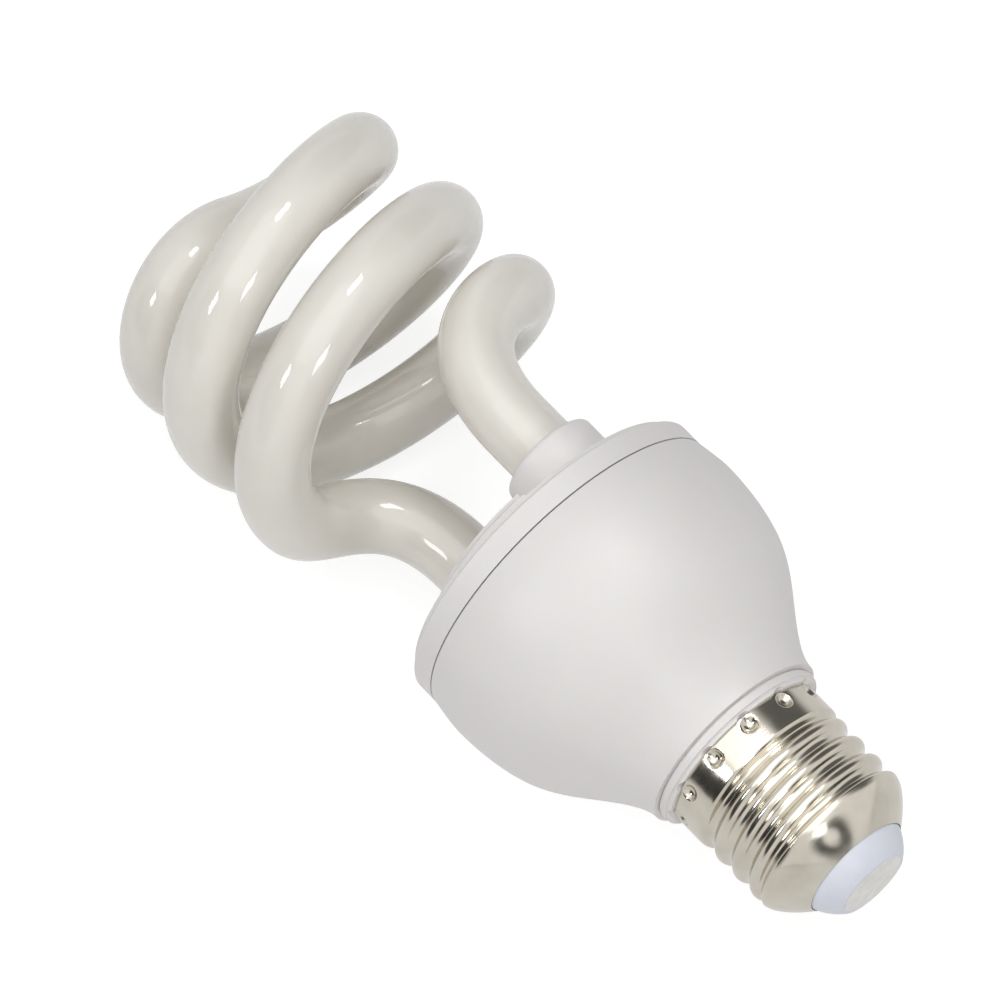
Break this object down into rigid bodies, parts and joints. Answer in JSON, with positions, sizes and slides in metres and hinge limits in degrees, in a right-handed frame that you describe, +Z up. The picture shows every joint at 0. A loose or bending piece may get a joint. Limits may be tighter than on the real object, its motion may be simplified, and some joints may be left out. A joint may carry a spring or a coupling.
{
  "type": "spiral fluorescent uvb lamp",
  "caption": "Compact fluorescent UVB lamp: twin-strand spiral tube on a bell-shaped ballast housing with an E27 screw cap.",
  "frame": {"origin": "centre of the centre contact's outer face, on the lamp's axis", "axes": "+X along the lamp's axis from the cap to the tip of the spiral, +Z up as the lamp lies in the picture, +Y to the left"},
  "size_m": [0.143, 0.0568, 0.0568],
  "materials": {
    "opal_glass": "opal, glossy",
    "tube_cement": "matt",
    "housing_plastic": "satin",
    "cap_metal": "nickel plated, bright",
    "insulator": "glazed",
    "contact_metal": "tinned, dull",
    "cord_sheath": "satin",
    "wire_metal": "tinned",
    "board": "matt",
    "ferrite": "matt",
    "bobbin_plastic": "matt",
    "copper_winding": "lacquered",
    "can_sleeve": "glossy",
    "film_capacitor": "glossy",
    "disc_capacitor": "satin",
    "transistor_case": "matt",
    "diode_case": "satin",
    "resistor_body": "satin",
    "glass_diode": "glossy"
  },
  "bodies": {
    "root": {"bulk_capacitor": "can_sleeve", "cap_insulator": "insulator", "cap_shell": "cap_metal", "centre_contact": "contact_metal", "centre_lead": "cord_sheath", "choke_bobbin": "bobbin_plastic", "choke_core_1": "ferrite", "choke_core_2": "ferrite", "choke_winding": "copper_winding", "circuit_board": "board", "coupling_capacitor": "film_capacitor", "diac": "glass_diode", "diode_1": "diode_case", "diode_2": "diode_case", "diode_3": "diode_case", "diode_4": "diode_case", "discharge_tube": "opal_glass", "drive_core": "ferrite", "drive_winding_1": "copper_winding", "drive_winding_2": "copper_winding", "drive_winding_3": "copper_winding", "filament_lead_1": "wire_metal", "filament_lead_2": "wire_metal", "filament_lead_3": "wire_metal", "filament_lead_4": "wire_metal", "fuse_resistor": "resistor_body", "input_choke_core": "ferrite", "input_choke_winding": "copper_winding", "lower_housing": "housing_plastic", "resistor_1": "resistor_body", "resistor_2": "resistor_body", "resistor_3": "resistor_body", "resonant_capacitor": "film_capacitor", "shell_lead": "wire_metal", "start_capacitor": "disc_capacitor", "transistor_1": "transistor_case", "transistor_2": "transistor_case", "tube_cement_1": "tube_cement", "tube_cement_2": "tube_cement", "tube_holder": "housing_plastic", "wire_post_1": "wire_metal", "wire_post_2": "wire_metal", "wire_post_3": "wire_metal", "wire_post_4": "wire_metal"}
  },
  "joints": []
}
